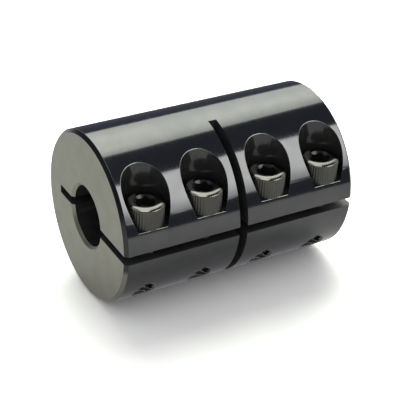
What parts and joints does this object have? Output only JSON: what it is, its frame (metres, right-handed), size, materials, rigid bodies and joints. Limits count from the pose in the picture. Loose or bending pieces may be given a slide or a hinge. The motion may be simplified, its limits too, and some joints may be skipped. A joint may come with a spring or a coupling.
{
  "type": "rigid shaft coupling",
  "caption": "One-piece slit clamp coupling: a black steel sleeve with a through bore, drawn tight on two shaft ends by socket head screws.",
  "frame": {"origin": "centre of the bottom end face, on the bore axis", "axes": "+Z along the bore, up from the end it stands on; +X toward the clamping slit; +Y toward the screw heads"},
  "size_m": [0.027, 0.027, 0.0397],
  "materials": {
    "body_steel": "black oxide, polished outside, satin ends",
    "screw_steel": "black oxide, satin"
  },
  "bodies": {
    "root": {"coupling_body": "body_steel", "clamp_screws": "screw_steel"}
  },
  "joints": []
}
